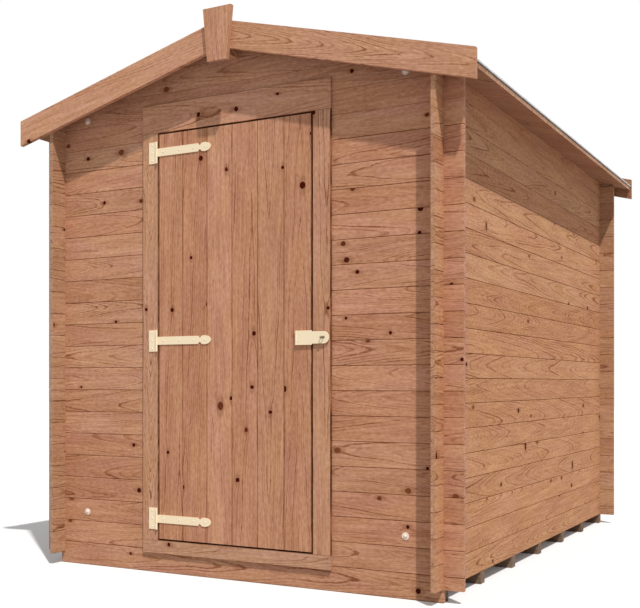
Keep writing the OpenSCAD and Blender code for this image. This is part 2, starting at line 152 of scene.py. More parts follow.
class NodeMaker:
    """Makes the nodes of one shader or geometry tree."""

    def __init__(self, tree: NodeTree) -> None:
        """Starts on a tree, and empties it."""
        self.tree = tree
        tree.nodes.clear()

    def node(
        self,
        kind: str,
        settings: Mapping[str, object] | None = None,
        inputs: Mapping[str | int, object] | None = None,
    ) -> Node:
        """Makes one node.

        Args:
            kind: Type of the node.
            settings: Its settings, which are set first.
            inputs: A value or a link for each of its sockets, by name or number.

        Returns:
            The node.
        """
        made = self.tree.nodes.new(kind)
        for name, value in (settings or {}).items():
            setattr(made, name, value)
        for key, value in (inputs or {}).items():
            socket = made.inputs[key]
            if isinstance(value, Value):
                self.tree.links.new(value.socket, socket)
            elif socket.type == "RGBA":
                socket.default_value = (*value, 1.0)
            else:
                socket.default_value = value
        return made

    def out(
        self,
        kind: str,
        settings: Mapping[str, object] | None = None,
        inputs: Mapping[str | int, object] | None = None,
        output: str | int = 0,
    ) -> Value:
        """Makes one node, and gives its output of that name or number."""
        return Value(self, self.node(kind, settings, inputs).outputs[output])

    def math(self, operation: str, *parts: Value | float) -> Value:
        """One Math node on one or two numbers."""
        return self.out("ShaderNodeMath", {"operation": operation}, dict(enumerate(parts)))

    def vector(self, x: Value | float, y: Value | float, z: Value | float) -> Value:
        """A vector from its three parts."""
        return self.out("ShaderNodeCombineXYZ", {}, {0: x, 1: y, 2: z})

    def dot(self, vector: Value, fixed: Vector) -> Value:
        """How far a vector reaches along a fixed one."""
        return self.out(
            "ShaderNodeVectorMath", {"operation": "DOT_PRODUCT"}, {0: vector, 1: fixed}, "Value"
        )

    def blend(self, share: Value | float, low: Value | Colour, high: Value | Colour) -> Value:
        """The first colour, with as much of the second over it as share says."""
        return self._mix("MIX", share, low, high)

    def tint(self, colour: Value, by: Value | Colour, share: Value | float = 1.0) -> Value:
        """Multiplies a colour by another, as much as share says."""
        return self._mix("MULTIPLY", share, colour, by)

    def _mix(
        self, how: str, share: Value | float, low: Value | Colour, high: Value | Colour
    ) -> Value:
        """One Mix node on colours."""
        settings = {"data_type": "RGBA", "blend_type": how}
        return self.out("ShaderNodeMix", settings, {0: share, 6: low, 7: high}, 2)

    def random(self, number: Value) -> tuple[Value, Value, Value]:
        """Three random numbers from 0 to 1 that belong to a number."""
        settings = {"noise_dimensions": "1D"}
        return self.out("ShaderNodeTexWhiteNoise", settings, {"W": number}, "Color").split()

    def noise(self, place: Value, scale: float = 1.0, detail: float = 2.0) -> Value:
        """Noise from about -0.5 to 0.5, by its waves per unit and how many finer layers it has."""
        inputs = {"Vector": place, "Scale": scale, "Detail": detail}
        return self.out("ShaderNodeTexNoise", {}, inputs) - 0.5

    def cells(
        self, place: Value, dimensions: str, scale: float, spread: float
    ) -> tuple[Value, Value, Value]:
        """Scatters cells.

        Args:
            place: Where they are read.
            dimensions: "2D" or "3D".
            scale: Cells per unit.
            spread: How irregular they are, from 0 to 1.

        Returns:
            The cell's random colour, the distance from its middle, and that middle.
        """
        settings = {"voronoi_dimensions": dimensions, "feature": "F1"}
        inputs = {"Vector": place, "Scale": scale, "Randomness": spread}
        made = self.node("ShaderNodeTexVoronoi", settings, inputs)
        return tuple(Value(self, made.outputs[key]) for key in ("Color", "Distance", "Position"))


class SurfaceMaker(NodeMaker):
    """Makes a material with one surface."""

    def __init__(self, name: str) -> None:
        """Starts a material.

        Args:
            name: Name of the material.
        """
        self.material = bpy.data.materials.new(name)
        self.material.use_nodes = True
        super().__init__(self.material.node_tree)
        self.place = self.out("ShaderNodeTexCoord", {}, {}, "Object")

    def drawn_out(self, scales: Sequence[float], detail: float) -> Value:
        """Noise with its own number of waves per metre along each axis."""
        parts = (part * scale for part, scale in zip(self.place.split(), scales))
        return self.noise(self.vector(*parts), 1.0, detail)

    def finish(
        self,
        colour: Value,
        roughness: Value,
        height: Value,
        relief: float,
        other: Mapping[str, float] | None = None,
    ) -> Material:
        """Makes the Principled surface and its output.

        Args:
            colour: Base colour.
            roughness: Roughness.
            height: Height of the relief, from about 0 to 1.
            relief: How high a height of 1 stands, in metres.
            other: Other inputs of the surface.

        Returns:
            The material.
        """
        raised = {"Strength": 1.0, "Distance": relief, "Height": height}
        inputs = {"Base Color": colour, "Roughness": roughness, **(other or {})}
        inputs["Normal"] = self.out("ShaderNodeBump", {}, raised)
        surface = self.out("ShaderNodeBsdfPrincipled", {}, inputs)
        self.node("ShaderNodeOutputMaterial", {}, {"Surface": surface})
        return self.material


# ---- sizes


@dataclass(frozen=True)
class ShedSizes:
    """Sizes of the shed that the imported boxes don't give."""

    log_h: float = 0.095
    wall_x: float = 0.9
    wall_y: float = 1.21
    wall_top: float = 1.923
    pitch: float = math.radians(14.5)
    roof_y: float = 1.286
    eave_x: float = 1.044
    roof_board_t: float = 0.022
    felt_t: float = 0.003
    door_x: float = 0.003
    door_w: float = 0.722
    hinge_x: float = -0.3685
    hasp_x: float = 0.3015
    plate_front_y: float = -1.2233
    hasp_z: float = 0.963
    hinge_zs: tuple[float, ...] = (0.225, 0.965, 1.748)

    @property
    def ridge_z(self) -> float:
        """Height where the undersides of the two slopes meet."""
        return self.wall_top + self.wall_x * math.tan(self.pitch)

    @property
    def ridge(self) -> Vector:
        """The place over the origin where they meet."""
        return Vector((0, 0, self.ridge_z))

    @property
    def slope_l(self) -> float:
        """Length of the roof boards down a slope."""
        return self.eave_x / math.cos(self.pitch)

    @property
    def door_left(self) -> float:
        """Where the door's hinged edge is."""
        return self.door_x - self.door_w / 2


SIZES = ShedSizes()


class Side(Enum):
    """Sides of the shed, as the sign along X of what stands there."""

    LEFT = -1
    RIGHT = 1

    @property
    def up(self) -> Vector:
        """Direction square to the slope of the roof on this side."""
        return Vector((self.value * math.sin(SIZES.pitch), 0, math.cos(SIZES.pitch)))

    @property
    def down(self) -> Vector:
        """Direction down that slope."""
        return Vector((self.value * math.cos(SIZES.pitch), 0, -math.sin(SIZES.pitch)))


@dataclass(frozen=True)
class Lie:
    """How the boards of a piece lie."""

    along: Vector  # direction of the grain
    across: Vector  # direction from board to board
    cover: float  # width that one board covers
    joint: float  # where a joint lies, measured across
    heart: Vector | None = None  # a point halfway through, if not the first box's middle
    tone: float = 1.0  # how light the wood is beside the finish's own colour; on the back barges, back finials and door stops it is painted shade
    sheltered: float = 0.0  # height from which joints and rings are painted fainter, standing in for the eave's shade, or 0

    @property
    def through(self) -> Vector:
        """Direction through the boards' thickness."""
        return self.along.cross(self.across)


# ---- finishes


@dataclass(frozen=True)
class Timber:
    """Planed softwood with rings about a heart line, knots, and a dark line at each joint."""

    name: str
    pale: Colour
    warm: Colour
    dead_knot: Colour = (0.058, 0.005, 0.001)
    live_knot: Colour = (0.20, 0.060, 0.022)
    ring: float = 8.4  # distance between rings, mm
    taper: float = 1.0  # how fast the rings run out of a board's face
    sway: float = 30.0  # how far the rings wander over a board's length, mm
    flame: float = 7.5  # how far they wander from flame to flame, mm
    feather: float = 3.8  # how ragged their edges are, mm
    swerve: float = 8.0  # how far they go round a knot, mm
    late_share: float = 0.52  # how much of the light a ring's late wood takes
    seam_share: float = 0.66  # how much a joint takes
    streak_share: float = 0.5  # how much the light changes with streaks, and so on
    fibre_share: float = 0.34
    feather_share: float = 0.3
    mottle_share: float = 0.5
    patch_share: float = 0.28
    board_share: float = 0.14
    ring_share: float = 0.09
    knot_share: float = 0.135  # share of the places for a knot that have one
    spike_share: float = 0.0  # share of the knots that were sawn lengthwise
    knot_size: float = 1.0
    seam_w: float = 2.1  # half the width of the dark line at a joint, mm
    heart_spread: float = 140.0  # widest board whose heart may lie anywhere across it, mm
    end_hue: Colour = (0.95, 0.99, 1.10)  # what the sawn ends are multiplied by
    rough: float = 0.78
    gloss: float = 0.05
    relief: float = 0.0006

    def material(self, lie: Lie, number: int) -> Material:
        """Builds the material for boards that lie one way.

        Args:
            lie: How the boards lie.
            number: Number of the material, which all its random numbers come from.

        Returns:
            The material.
        """
        make = SurfaceMaker(f"{self.name}_{number}")
        cover = lie.cover * MM
        length = make.dot(make.place, lie.along * MM)
        width = make.dot(make.place, lie.across * MM)
        depth = make.dot(make.place, lie.through * MM) - lie.heart.dot(lie.through) * MM
        board = ((width - lie.joint * MM) / cover).floor()
        offset = width - lie.joint * MM - board * cover - cover / 2
        drawn = board + number * 31.0
        tilt, heart, shift = make.random(drawn)
        shade, warmth, turn = make.random(drawn + 1000.5)

        # every board is read from a place of its own in the noise
        far = length + shift * 30000.0
        side = width + heart * 9000.0

        def grain(run: float, spread: float, detail: float) -> Value:
            """Noise drawn out along the grain, for lengths and widths in millimetres."""
            return make.noise(make.vector(far / run, side / spread, depth / spread), 1.0, detail)

        sway = grain(330.0, 200.0, 1.0)
        flame = grain(95.0, 30.0, 2.0)
        feather = grain(20.0, 4.4, 2.0)
        fibre = grain(26.0, 1.8, 2.0)
        streak = grain(230.0, 10.0, 3.0)
        patch = grain(230.0, 34.0, 2.0)
        mottle = grain(20.0, 10.5, 3.0)
        tan = grain(310.0, 90.0, 2.0)
        knot, halo, eye, live = self._knots(make, far, offset, shade, shift)

        # rings: distance from a heart line that lies behind the board and leans along it
        across = offset - (heart - 0.5) * min(cover, self.heart_spread) * 0.9
        lean = (tilt - 0.5) * 0.15 + (tilt.step(0.499, 0.501) - 0.5) * 0.10
        rings = span(across, depth + (4.0 + 10.0 * turn)) + length * self.taper * lean
        rings = rings + sway * self.sway + flame * self.flame + feather * self.feather
        rings = (rings + eye * self.swerve) / ((0.62 + 0.85 * shift) * self.ring)
        ring = rings.floor()
        into = rings - ring
        strength, tone, _ = make.random(ring + board * 7.0 + number)
        fade = (patch + feather * 0.8 + 0.5).step(0.36, 0.66) * 0.78 + 0.22
        late = into.step(0.5, 0.9) * into.step(1.0, 0.95)
        late = (late * (0.16 + strength * strength * 1.35) * fade).least(1.0)
        groove = abs(offset).step(cover / 2 - self.seam_w, cover / 2 - self.seam_w * 0.3)
        groove = groove * (0.62 + 0.38 * turn) * (0.78 + flame * 2.2).least(1.0)
        # painted shade: above that height the joint lines and the late wood are faded, as if
        # flattened by the eave's shade
        if lie.sheltered:
            shade_fade = width.step(lie.sheltered * MM, (lie.sheltered + 0.1) * MM)
            groove = groove * (1.0 - 0.85 * shade_fade)
            late = late * (1.0 - 0.4 * shade_fade)

        pale, warm = (tuple(part * lie.tone for part in hue) for hue in (self.pale, self.warm))
        colour = make.blend((patch + sway * 0.5 + 0.5).step(0.25, 0.75), pale, warm)
        colour = make.tint(colour, (0.97, 0.90, 0.88), warmth)
        stain = make.blend(tan.step(-0.22, 0.22), (1.0, 0.99, 1.05), (1.0, 1.01, 0.94))
        colour = make.tint(colour, stain)
        level = 1.02 + streak * self.streak_share + fibre * self.fibre_share
        level = level + feather * self.feather_share + mottle * self.mottle_share
        level = level + (shade - 0.5) * self.board_share + (tone - 0.5) * self.ring_share
        level = level + patch * self.patch_share
        level = level * (1.0 - late * self.late_share) * (1.0 - groove * self.seam_share)
        colour = make.tint(colour, self._fuller(make, level.most(0.02)))
        end = abs(make.dot(make.out("ShaderNodeTexCoord", {}, {}, "Normal"), lie.along))
        end = end.step(0.7, 0.95)
        knot, halo = knot * (1.0 - end), halo * (1.0 - end)
        colour = make.tint(colour, self.end_hue, end)
        colour = make.blend(halo * 0.36, colour, self.live_knot)
        colour = make.blend(knot, colour, make.blend(live, self.dead_knot, self.live_knot))
        rough = self.rough + fibre * 0.14 - late * 0.06 + knot * 0.05
        height = 0.6 - late * 0.3 + fibre * 0.5 - knot * 0.35
        return make.finish(colour, rough, height, self.relief, {"Specular IOR Level": self.gloss})

    def _knots(
        self, make: SurfaceMaker, far: Value, offset: Value, shade: Value, shift: Value
    ) -> tuple[Value, Value, Value, Value]:
        """Scatters knots over the boards.

        Args:
            make: The material's node maker.
            far: Length along the grain, mm.
            offset: Distance across from the board's middle, mm.
            shade: A random number of the board.
            shift: Another.

        Returns:
            The knots, the darker wood round them, how far the rings swerve round them, and how
            pale each knot is.
        """
        cell_l, cell_w = 190.0, 78.0  # size of the patch of wood that may hold a knot, mm
        cell = make.vector(far / cell_l, offset / cell_w + shade * 40.0 + shift * 7.0, 0.0)
        hue, _, middle = make.cells(cell, "2D", 1.0, 0.9)
        chance, girth, stretch = hue.split()
        away = make.out("ShaderNodeVectorMath", {"operation": "SUBTRACT"}, {0: cell, 1: middle})
        step_l, step_w, _ = away.split()
        near_l, near_w = step_l * cell_l, step_w * cell_w
        there = chance.step(1.0 - self.knot_share, 1.005 - self.knot_share)
        first = 1.0 - self.knot_share * self.spike_share
        spike = chance.step(first, first + 0.004)
        live = stretch.step(0.62, 0.9) * 0.9 * (1.0 - spike)
        girth = (5.8 + girth * girth * 4.8 + live * 2.6) * self.knot_size
        ragged = make.noise(make.vector(far / 8.0, offset / 8.0, shade * 50.0), 1.0, 1.0) * 4.0
        round_w = near_w / (1.0 + spike * 1.6)
        distance = span(near_l / (0.9 + stretch * 0.4), round_w) + ragged
        core = (distance / girth).step(1.06, 0.88) * there
        swerve = span(near_l / 2.4, round_w) / girth
        halo = swerve.step(1.7, 0.9) * there
        eye = swerve.step(3.8, 0.2) * there
        return core, halo, eye, live

    @staticmethod
    def _fuller(make: SurfaceMaker, level: Value) -> Value:
        """What a light level leaves of each colour: darker wood is redder and fuller."""
        return make.out("ShaderNodeCombineColor", {}, {0: level, 1: level**1.4, 2: level**1.8})


@dataclass(frozen=True)
class MineralFelt:
    """Bitumen felt faced with slate granules."""

    name: str = "mineral_felt"
    light: Colour = (0.54, 0.54, 0.54)
    dark: Colour = (0.24, 0.25, 0.25)
    bare: Colour = (0.05, 0.05, 0.05)
    granule: float = 2.2  # size of a granule, mm
    lip_hue: Colour = (1.7, 1.62, 1.58)  # what the turned-down lip is multiplied by: a painted highlight, as if lit on its face
    lip_high: float = 0.0228  # where that lip starts, square to the slope
    lip_low: float = 0.0168  # where the black of its cut edge starts, which is also painted shade under the lip
    fade: float = 0.001  # how far each of the two takes to come in
    relief: float = 0.0012

    def material(self) -> Material:
        """Builds the material.

        Returns:
            The material.
        """
        make = SurfaceMaker(self.name)
        hue, distance, _ = make.cells(make.place, "3D", MM / self.granule, 1.0)
        pick, lift, _ = hue.split()
        cloud = make.noise(make.place, 3.0, 3.0)
        streak = make.drawn_out((14.0, 1.2, 14.0), 2.0)
        level = (pick * 0.75 + 0.2 + cloud * 0.7 + streak * 0.35).step(0.0, 1.1)
        colour = make.blend(level, self.dark, self.light)
        colour = make.blend(distance.step(0.55, 0.8) * 0.6, colour, self.bare)
        x, _, z = make.place.split()
        over = abs(x) * math.sin(SIZES.pitch) + (z - SIZES.ridge_z) * math.cos(SIZES.pitch)
        # painted highlight on the turned-down lip, then its black lower edge, which is partly
        # painted shade
        lip = over.step(self.lip_high, self.lip_high - self.fade)
        colour = make.tint(colour, self.lip_hue, lip)
        colour = make.blend(over.step(self.lip_low, self.lip_low - self.fade), colour, self.bare)
        height = distance.step(0.75, 0.1) * (0.5 + lift * 0.5)
        return make.finish(colour, 0.9 - pick * 0.1, height, self.relief)


@dataclass(frozen=True)
class Enamel:
    """Painted or plated iron with faint brush marks and wear."""

    name: str
    colour: Colour
    shadow: Colour
    rough: float = 0.38
    metallic: float = 0.0
    coat: float = 0.15
    relief: float = 0.0001

    def material(self) -> Material:
        """Builds the material.

        Returns:
            The material.
        """
        make = SurfaceMaker(self.name)
        blotch = make.noise(make.place, 45.0, 3.0)
        speck = make.noise(make.place, 900.0, 2.0)
        brushed = make.drawn_out((60.0, 900.0, 900.0), 1.0)
        wear = (blotch + speck * 0.35 + brushed * 0.2).step(0.05, 0.5)
        colour = make.blend(wear * 0.55, self.colour, self.shadow)
        rough = self.rough + blotch * 0.2 + speck * 0.1
        height = 0.5 + speck * 0.5 + brushed * 0.4
        other = {"Metallic": self.metallic, "Coat Weight": self.coat}
        return make.finish(colour, rough, height, self.relief, other)


@dataclass(frozen=True)
class PlainFloor:
    """Pale floor that shows white and keeps a soft shadow."""

    name: str = "plain_floor"
    seen: float = 0.80
    bounced: float = 0.42
    glow: float = 0.06

    def material(self) -> Material:
        """Builds the material.

        Returns:
            The material.
        """
        material = bpy.data.materials.new(self.name)
        material.use_nodes = True
        make = NodeMaker(material.node_tree)
        straight = seen_straight(make)
        cloud = make.noise(make.out("ShaderNodeTexCoord", {}, {}, "Object"), 1.5, 2.0)
        pale = make.blend(cloud + 0.5, (self.seen,) * 3, (self.seen * 0.97,) * 3)
        plain = make.out("ShaderNodeBsdfDiffuse", {}, {"Color": pale})
        glow = make.out("ShaderNodeEmission", {}, {"Color": WHITE, "Strength": 1.0})
        shown = make.out("ShaderNodeMixShader", {}, {0: self.glow, 1: plain, 2: glow})
        bounce = make.out("ShaderNodeBsdfDiffuse", {}, {"Color": (self.bounced,) * 3})
        both = make.out("ShaderNodeMixShader", {}, {0: straight, 1: bounce, 2: shown})
        make.node("ShaderNodeOutputMaterial", {}, {"Surface": both})
        return material


def seen_straight(make: NodeMaker) -> Value:
    """Tells what is seen from light that bounces.

    Args:
        make: The tree's node maker.

    Returns:
        1 for what is seen directly, in a gloss or through glass, and 0 for bounced light.
    """
    path = make.node("ShaderNodeLightPath")
    names = ("Is Camera Ray", "Is Glossy Ray", "Is Transmission Ray")
    camera, glossy, through = (Value(make, path.outputs[name]) for name in names)
    return camera.most(glossy).most(through)


LOG_TIMBER = Timber("log_timber", pale=(0.575, 0.302, 0.182), warm=(0.475, 0.228, 0.136))
SIDE_TIMBER = replace(
    LOG_TIMBER,
    name="side_timber",
    pale=(0.545, 0.292, 0.158),
    warm=(0.46, 0.226, 0.122),
    late_share=0.54,
    mottle_share=0.6,
    knot_share=0.09,
    spike_share=0.25,
)
# less red copies of the log timber: painted light, their colour offsets the warm light bounced
# onto the left wall and the back wall
LEFT_TIMBER = replace(
    LOG_TIMBER, name="left_timber", pale=(0.507, 0.30, 0.175), warm=(0.425, 0.228, 0.132)
)
BACK_TIMBER = replace(
    LOG_TIMBER, name="back_timber", pale=(0.505, 0.30, 0.178), warm=(0.42, 0.228, 0.134)
)
DOOR_TIMBER = Timber(
    "door_timber",
    pale=(0.575, 0.305, 0.183),
    warm=(0.475, 0.230, 0.138),
    ring=8.6,
    taper=0.5,
    late_share=0.56,
    streak_share=0.36,
    fibre_share=0.26,
    knot_share=0.22,
    knot_size=1.22,
    seam_share=0.92,
    seam_w=2.5,
)
TRIM_TIMBER = Timber(
    "trim_timber",
    pale=(0.59, 0.325, 0.202),
    warm=(0.545, 0.288, 0.175),
    late_share=0.56,
    knot_share=0.14,
)
POST_TIMBER = replace(
    TRIM_TIMBER, name="post_timber", pale=(0.575, 0.329, 0.208), warm=(0.53, 0.292, 0.181)
)
# painted highlight: the roof boards' sawn ends are made far paler, as if the sun lit the eave's
# edge
ROOF_TIMBER = replace(TRIM_TIMBER, name="roof_timber", end_hue=(2.05, 2.3, 2.5))
BEARER_TIMBER = Timber(
    "bearer_timber",
    pale=(0.26, 0.185, 0.125),
    warm=(0.19, 0.125, 0.08),
    rough=0.85,
    relief=0.0012,
)
CREAM_IRON = Enamel("cream_iron", colour=(0.91, 0.745, 0.505), shadow=(0.70, 0.56, 0.36))
PALE_ZINC = Enamel(
    "pale_zinc", colour=(0.83, 0.68, 0.57), shadow=(0.55, 0.44, 0.36), rough=0.42, coat=0.0
)
STEEL = Enamel(
    "bright_steel", colour=(0.52, 0.51, 0.50), shadow=(0.3, 0.29, 0.28), metallic=1.0, coat=0.0
)
# the staple is dark iron, made this dark partly as painted shade in the hasp's slot
STAPLE_IRON_AND_SLOT_SHADE = Enamel(
    "plated_iron", colour=(0.22, 0.17, 0.10), shadow=(0.10, 0.075, 0.045), rough=0.5, coat=0.0
)
FELT = MineralFelt()


# ---- geometry trees


def stand(name: str, data: ID) -> Object:
    """Puts a new object in the scene.

    Args:
        name: Its name.
        data: Its mesh, lamp or camera.

    Returns:
        The object.
    """
    made = bpy.data.objects.new(name, data)
    bpy.context.scene.collection.objects.link(made)
    return made


class GeometryMaker(NodeMaker):
    """Makes a Geometry Nodes tree with named inputs, and applies it to a mesh."""

    def __init__(self, name: str, sizes: Mapping[str, object]) -> None:
        """Starts a tree.

        Args:
            name: Name of the tree and of the piece that it makes.
            sizes: Names and values. Each number makes an input, and a whole number an integer.
        """
        super().__init__(bpy.data.node_groups.new(name, "GeometryNodeTree"))
        self.name = name
        face = self.tree.interface
        for way in ("INPUT", "OUTPUT"):
            face.new_socket("Geometry", in_out=way, socket_type="NodeSocketGeometry")
        self.values: dict[str, float] = {}
        for key, value in sizes.items():
            if isinstance(value, (int, float)):
                kind = "NodeSocketInt" if isinstance(value, int) else "NodeSocketFloat"
                socket = face.new_socket(key, in_out="INPUT", socket_type=kind)
                self.values[socket.identifier] = value
        entry = self.node("NodeGroupInput")
        self.given = {socket.name: Value(self, socket) for socket in entry.outputs}

    def join(self, *parts: Value) -> Value:
        """Makes one geometry of several.

        Args:
            *parts: The geometries.

        Returns:
            The joined geometry.
        """
        made = self.node("GeometryNodeJoinGeometry")
        for part in parts:
            self.tree.links.new(part.socket, made.inputs[0])
        return Value(self, made.outputs[0])

    def transform(self, geometry: Value, moves: Mapping[str, object]) -> Value:
        """Moves, turns and scales a geometry."""
        return self.out("GeometryNodeTransform", {}, {"Geometry": geometry, **moves})

    def finish(self, geometry: Value, material: Material, base: Mesh) -> Object:
        """Ends the tree, runs it on a mesh and keeps the result as a plain mesh.

        Args:
            geometry: What the tree has made.
            material: Its material.
            base: The mesh that the tree starts from.

        Returns:
            The piece, with no modifier left on it.
        """
        real = self.out("GeometryNodeRealizeInstances", {}, {"Geometry": geometry})
        done = self.out("GeometryNodeSetMaterial", {}, {"Geometry": real, "Material": material})
        self.node("NodeGroupOutput", {}, {"Geometry": done})
        piece = stand(self.name, base)
        modifier = piece.modifiers.new(self.name, "NODES")
        modifier.node_group = self.tree
        for identifier, value in self.values.items():
            modifier[identifier] = value
        graph = bpy.context.evaluated_depsgraph_get()
        graph.update()
        mesh = bpy.data.meshes.new_from_object(piece.evaluated_get(graph))
        piece.modifiers.remove(modifier)
        piece.data = mesh
        mesh.name = self.name
        return piece


@dataclass(frozen=True)
class Spot:
    """Where a fixing sits, and which way it faces."""

    at: Vector
    facing: Vector


@dataclass(frozen=True)
class Head:
    """Round head of a screw, nail or bolt, with a washer under it where it has one."""

    radius: float
    height: float
    sides: int = 10
    rings: int = 4
    washer_radius: float = 0.0
    washer_height: float = 0.0
    seed: int = 7  # for how far round each head is turned

    def place(self, name: str, spots: Sequence[Spot], material: Material) -> Object:
        """Sets one head at each spot.

        Args:
            name: Name of the piece.
            spots: Where the heads sit.
            material: Their material.

        Returns:
            One mesh of all the heads.
        """
        base = bpy.data.meshes.new(f"{name}_spots")
        base.from_pydata([spot.at for spot in spots], [], [])
        facing = base.attributes.new("facing", "FLOAT_VECTOR", "POINT")
        for item, spot in zip(facing.data, spots):
            item.vector = spot.facing
        make = GeometryMaker(name, vars(self))
        outwards = make.out(
            "GeometryNodeInputNamedAttribute",
            {"data_type": "FLOAT_VECTOR"},
            {"Name": "facing"},
            "Attribute",
        )
        turn = make.out("FunctionNodeAlignRotationToVector", {"axis": "Z"}, {"Vector": outwards})
        angle = make.out(
            "FunctionNodeRandomValue",
            {"data_type": "FLOAT"},
            {2: 0.0, 3: math.tau, "Seed": make.given["seed"]},
            1,
        )
        spin = make.out("FunctionNodeAxisAngleToRotation", {}, {"Axis": Z, "Angle": angle})
        turn = make.out(
            "FunctionNodeRotateRotation",
            {"rotation_space": "LOCAL"},
            {"Rotation": turn, "Rotate By": spin},
        )
        heads = make.out(
            "GeometryNodeInstanceOnPoints",
            {},
            {"Points": make.given["Geometry"], "Instance": self._shape(make), "Rotation": turn},
        )
        return make.finish(heads, material, base)

    def _shape(self, make: GeometryMaker) -> Value:
        """One head: a low dome, sunk by half its height, and its washer.

        Args:
            make: The tree's node maker.

        Returns:
            The head, facing up.
        """
        given = make.given
        ball = make.out(
            "GeometryNodeMeshUVSphere",
            {},
            {"Segments": given["sides"], "Rings": given["rings"], "Radius": 1.0},
            "Mesh",
        )
        smooth = make.out("GeometryNodeSetShadeSmooth", {}, {"Geometry": ball})
        scale = make.vector(given["radius"], given["radius"], given["height"])
        raised = make.vector(0.0, 0.0, given["washer_height"])
        dome = make.transform(smooth, {"Scale": scale, "Translation": raised})
        if not self.washer_radius:
            return dome
        discs = []
        # each disc of the washer, by its share of the radius, its depth and its middle's height
        for reach, depth, middle in ((1.0, 0.72, 0.36), (0.9, 0.28, 0.86)):
            disc = make.out(
                "GeometryNodeMeshCylinder",
                {"fill_type": "NGON"},
                {
                    "Vertices": 32,
                    "Radius": given["washer_radius"] * reach,
                    "Depth": given["washer_height"] * depth,
                },
                "Mesh",
            )
            lift = make.vector(0.0, 0.0, given["washer_height"] * middle)
            discs.append(make.transform(disc, {"Translation": lift}))
        return make.join(dome, *discs)


def closed_sheet(make: GeometryMaker, width: Value | float, columns: int, place: Value) -> Value:
    """Bends a grid, gives it its thickness upwards and closes it.

    Args:
        make: The tree's node maker, which has a length and a thickness given.
        width: Width of the grid, along X.
        columns: How many points it has along X.
        place: Where each of its points goes.

    Returns:
        The closed sheet.
    """
    size = {"Size X": width, "Size Y": make.given["length"]}
    counts = {"Vertices X": columns, "Vertices Y": 72}
    grid = make.out("GeometryNodeMeshGrid", {}, {**size, **counts}, "Mesh")
    sheet = make.out("GeometryNodeSetPosition", {}, {"Geometry": grid, "Position": place})
    raised = make.out(
        "GeometryNodeExtrudeMesh",
        {"mode": "FACES"},
        {"Mesh": sheet, "Offset Scale": make.given["thickness"], "Individual": False},
        "Mesh",
    )
    under = make.out("GeometryNodeFlipFaces", {}, {"Mesh": sheet})
    both = {"Geometry": make.join(raised, under), "Distance": 1e-5}
    merged = make.out("GeometryNodeMergeByDistance", {}, both)
    return make.out("GeometryNodeSetShadeSmooth", {}, {"Geometry": merged, "Shade Smooth": True})


@dataclass(frozen=True)
class FeltSheet:
    """Strip of felt down a slope, which may rise over a lower strip or turn down at the eave."""

    name: str
    run: float
    length: float
    lap_rise: float = 0.0
    lap: float = 0.08
    lap_climb: float = 0.035  # how far it takes to rise
    turn_down: float = 0.0
    turn_radius: float = 0.004
    thickness: float = 0.0024
    ripple: float = 0.0009
    seed: int = 3

    def build(self, origin: Vector, pitch: float, material: Material) -> Object:
        """Lays the strip.

        Args:
            origin: Middle of its upper edge, on its underside.
            pitch: Slope down towards +X, or towards -X where it is negative.
            material: Its material.

        Returns:
            A closed mesh.
        """
        make = GeometryMaker(self.name, vars(self))
        sheet = self._level(make)
        if pitch < 0.0:
            sheet = make.transform(sheet, {"Rotation": (0.0, 0.0, math.pi)})
        placed = make.transform(sheet, {"Rotation": (0.0, pitch, 0.0), "Translation": origin})
        return make.finish(placed, material, bpy.data.meshes.new(self.name))

    def _level(self, make: GeometryMaker) -> Value:
        """The strip before it is sloped. Its columns crowd towards the lower edge.

        Args:
            make: The tree's node maker.

        Returns:
            The closed strip.
        """
        given = make.given
        run, bend = given["run"], given["turn_radius"]
        column, row, _ = make.out("GeometryNodeInputPosition").split()
        down = (run + given["turn_down"]) * (1.0 - (0.5 - column).most(0.0) ** 2.4)
        start = run - bend
        past = (down - start).most(0.0)
        angle = (past / bend).least(math.pi / 2)
        rest = (past - bend * (math.pi / 2)).most(0.0)
        x = down.least(start) + make.math("SINE", angle) * bend
        drop = (1.0 - make.math("COSINE", angle)) * bend + rest
        lapped = run - given["lap"]
        climb = down.step(lapped - given["lap_climb"], lapped)
        wave = make.noise(make.vector(x * 2.2, row * 5.0, given["seed"] * 3.7), 1.0, 2.0)
        calm = down.step(0.0, 0.05) * down.step(run + 0.001, run - 0.02)
        z = climb * given["lap_rise"] + wave * calm * given["ripple"] * 2.0 - drop
        return closed_sheet(make, 1.0, 44, make.vector(x, row, z))


@dataclass(frozen=True)
class RidgeSheet:
    """Strip of felt folded over the ridge."""

    length: float
    name: str = "ridge_felt"
    reach: float = 0.15
    fold: float = 0.02
    thickness: float = 0.0028
    ripple: float = 0.0009
    seed: int = 11

    def build(self, ridge: Vector, pitch: float, material: Material) -> Object:
        """Lays the strip.

        Args:
            ridge: Where the two slopes of its underside would meet.
            pitch: Slope of the roof.
            material: Its material.

        Returns:
            A closed mesh.
        """
        make = GeometryMaker(self.name, {**vars(self), "fall": math.tan(pitch)})
        given = make.given
        x, row, _ = make.out("GeometryNodeInputPosition").split()
        wave = make.noise(make.vector(x * 3.0, row * 5.0, given["seed"] * 2.3), 1.0, 2.0)
        z = wave * given["ripple"] * 2.0 - span(x, given["fold"]) * given["fall"]
        width = given["reach"] * (2.0 * math.cos(pitch))
        sheet = closed_sheet(make, width, 41, make.vector(x, row, z))
        placed = make.transform(sheet, {"Translation": ridge})
        return make.finish(placed, material, bpy.data.meshes.new(self.name))


# ---- sub-assemblies


